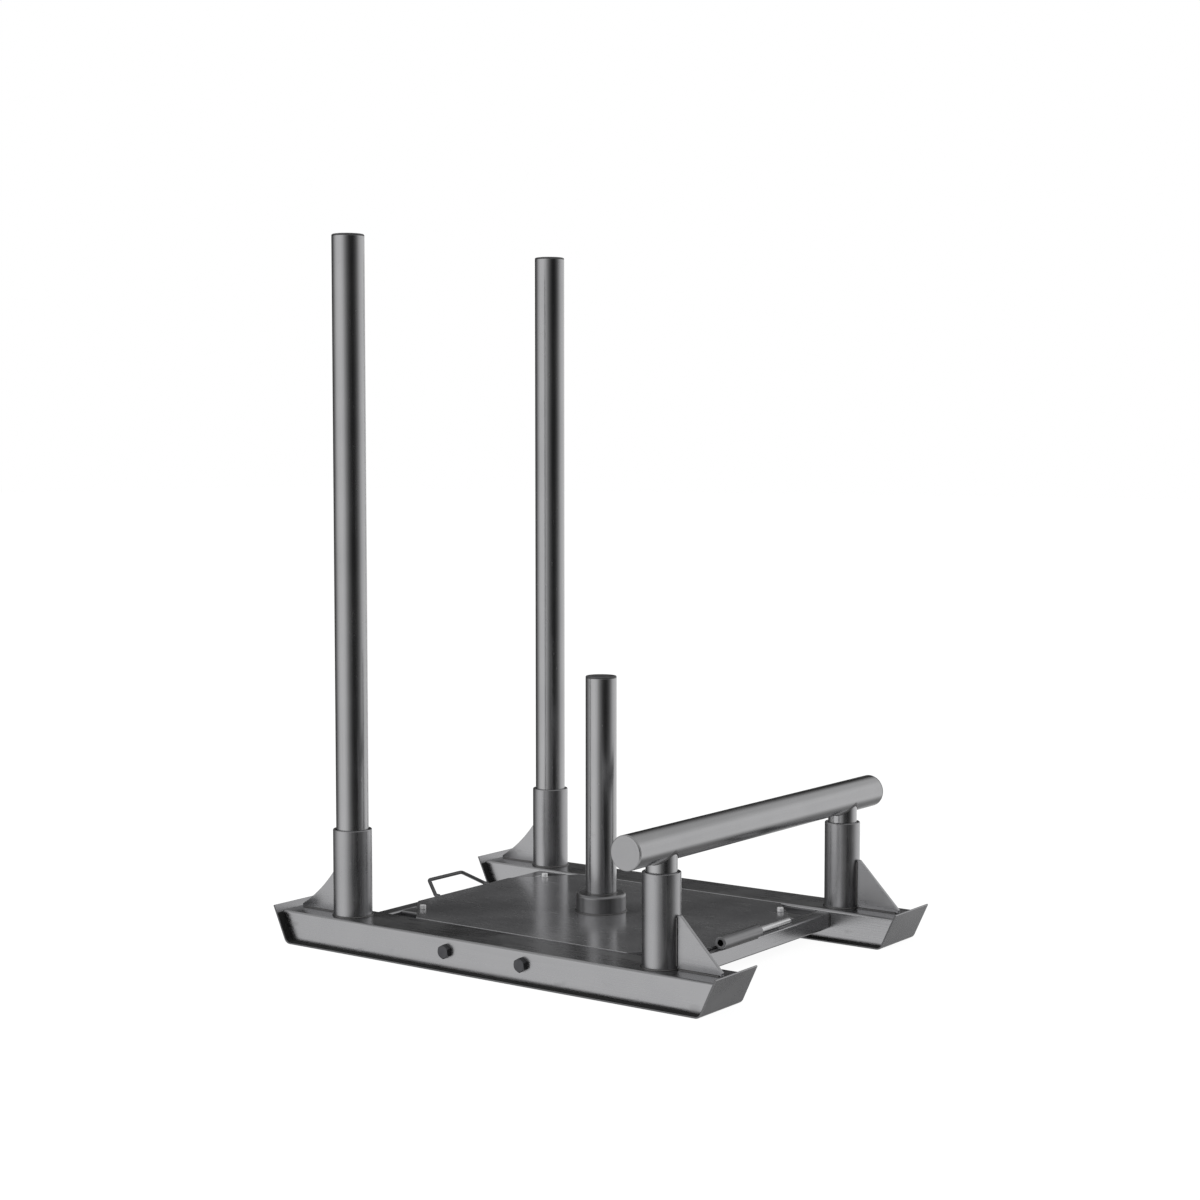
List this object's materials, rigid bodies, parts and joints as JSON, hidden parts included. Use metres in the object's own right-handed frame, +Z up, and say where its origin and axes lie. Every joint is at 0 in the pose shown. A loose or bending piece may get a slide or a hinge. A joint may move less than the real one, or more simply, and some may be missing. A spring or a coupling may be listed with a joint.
{
  "type": "sled track machine",
  "caption": "Push and pull sled on two upturned skis, with tall push poles, a low push handle, a plate post, a rear tow loop and a front draw pin.",
  "frame": {"origin": "on the floor, at the centre of the sled's footprint", "axes": "+Z up; +X toward the end with the low push handle, -X toward the tall poles; +Y to the left as seen from behind the poles"},
  "size_m": [0.8252, 0.6796, 1.0945],
  "materials": {
    "satin_steel": "satin, fine brushed grain",
    "bright_tube": "polished tube with soft streaks along it",
    "dark_plate": "dark semi-gloss plate",
    "dark_steel": "satin mill finish",
    "black_rubber": "matt",
    "grey_plastic": "fine matt grain",
    "black_bolt": "black oxide",
    "zinc_bolt": "bright zinc"
  },
  "bodies": {
    "sled_frame": {"cross_bar_front": "dark_steel", "cross_bar_rear": "dark_steel", "deck_bearer_left": "dark_steel", "deck_bearer_right": "dark_steel", "deck_nut_left_front": "zinc_bolt", "deck_nut_left_rear": "zinc_bolt", "deck_nut_right_front": "zinc_bolt", "deck_nut_right_rear": "zinc_bolt", "deck_plate": "dark_plate", "deck_screw_left_front": "zinc_bolt", "deck_screw_left_rear": "zinc_bolt", "deck_screw_right_front": "zinc_bolt", "deck_screw_right_rear": "zinc_bolt", "handle_gusset_left": "satin_steel", "handle_gusset_right": "satin_steel", "handle_socket_left": "satin_steel", "handle_socket_right": "satin_steel", "pin_sleeve": "dark_steel", "pole_gusset_left": "satin_steel", "pole_gusset_right": "satin_steel", "pole_socket_left": "satin_steel", "pole_socket_right": "satin_steel", "post_bearer": "dark_steel", "post_collar": "satin_steel", "post_plug": "grey_plastic", "side_bar_left": "dark_steel", "side_bar_right": "dark_steel", "side_bolt_left_front": "black_bolt", "side_bolt_left_rear": "black_bolt", "side_bolt_right_front": "black_bolt", "side_bolt_right_rear": "black_bolt", "side_nut_left_front": "black_bolt", "side_nut_left_rear": "black_bolt", "side_nut_right_front": "black_bolt", "side_nut_right_rear": "black_bolt", "ski_body_left": "satin_steel", "ski_body_right": "satin_steel", "ski_liner_left": "black_rubber", "ski_liner_right": "black_rubber", "ski_shoe_left": "satin_steel", "ski_shoe_right": "satin_steel", "tow_loop": "bright_tube", "weight_post": "bright_tube"},
    "push_pole_left": {"push_pole_left": "bright_tube", "pole_plug_left": "grey_plastic"},
    "push_pole_right": {"push_pole_right": "bright_tube", "pole_plug_right": "grey_plastic"},
    "push_handle": {"handle_bar": "bright_tube", "handle_post_left": "bright_tube", "handle_post_right": "bright_tube", "handle_plug_left": "grey_plastic", "handle_plug_right": "grey_plastic"},
    "draw_pin": {"draw_pin": "zinc_bolt"}
  },
  "joints": [
    {"name": "push_pole_left_lift", "type": "slide", "parent": "sled_frame", "child": "push_pole_left", "axis": [0, 0, 1], "range_m": [0, 0.15]},
    {"name": "push_pole_right_lift", "type": "slide", "parent": "sled_frame", "child": "push_pole_right", "axis": [0, 0, 1], "range_m": [0, 0.15]},
    {"name": "push_handle_lift", "type": "slide", "parent": "sled_frame", "child": "push_handle", "axis": [0, 0, 1], "range_m": [0, 0.15]},
    {"name": "draw_pin_slide", "type": "slide", "parent": "sled_frame", "child": "draw_pin", "axis": [0, 1, 0], "range_m": [-0.035, 0.07]}
  ]
}
